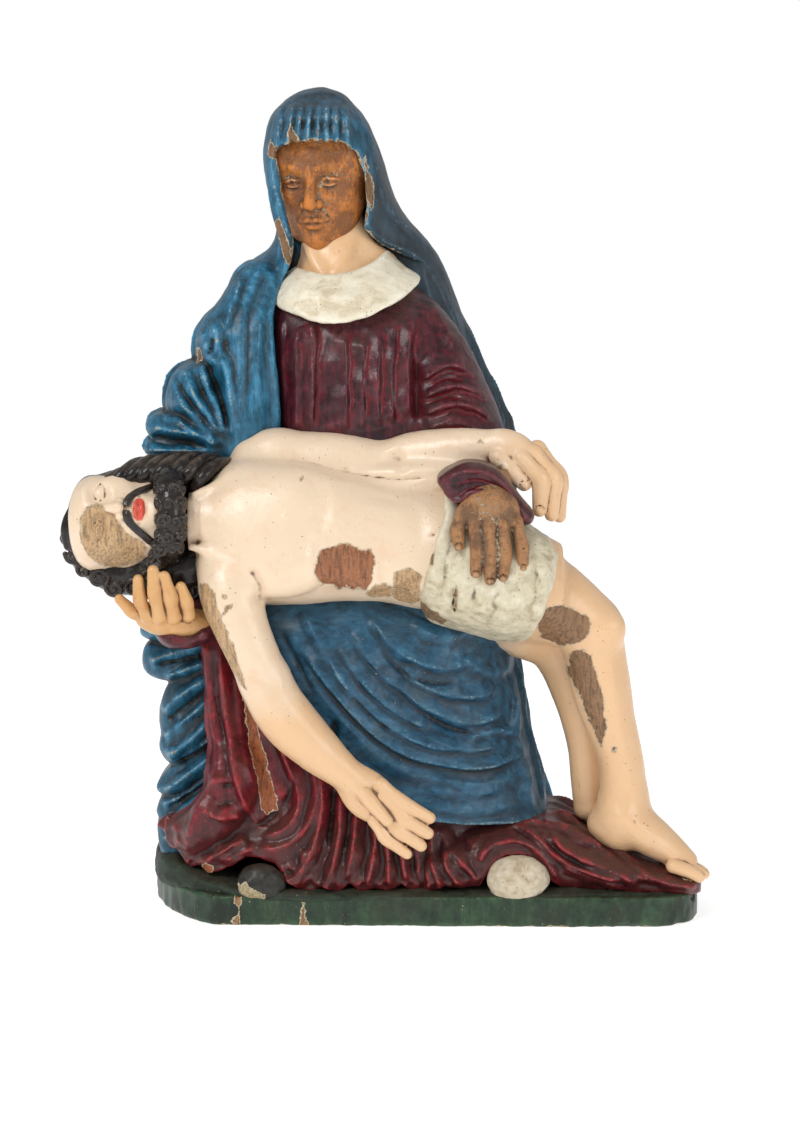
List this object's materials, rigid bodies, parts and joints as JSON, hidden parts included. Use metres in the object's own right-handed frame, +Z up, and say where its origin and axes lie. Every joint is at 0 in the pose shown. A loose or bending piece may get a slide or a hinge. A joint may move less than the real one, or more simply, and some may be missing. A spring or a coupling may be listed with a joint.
{
  "type": "statue",
  "caption": "Carved wooden pieta with worn polychrome: a seated hooded mother holds a dead man across her lap, on a low green ground cut from the same block.",
  "frame": {"origin": "middle of the bounding box, on the flat underside of the plinth", "axes": "+Z up through the figures, +X towards the viewer's right, -Y towards the front"},
  "size_m": [0.463, 0.2486, 0.599],
  "materials": {
    "painted_wood": "carved wood under worn gesso and oil paint; the slots below name its painted zones",
    "blue_paint": "satin blue oil paint on the hood, mantle and apron, grey-blue on worn ridges and black in the folds",
    "crimson_paint": "glossy crimson oil paint on the dress and robe, grey-brown on worn ridges, with bare wood where it is lost",
    "flesh_paint": "glossy peach flesh paint with pits, dirt and patches of bare wood",
    "bare_wood": "rough brown bare wood with woodworm holes, on the mother's face and left hand",
    "black_paint": "glossy black paint on carved hair and beard",
    "linen_paint": "off-white paint on the collar and loincloth, speckled and cracked",
    "green_paint": "dark green paint on the ground, grimy above, chipped and cracked at the edge"
  },
  "bodies": {
    "root": {"pieta_group": "painted_wood"}
  },
  "joints": []
}
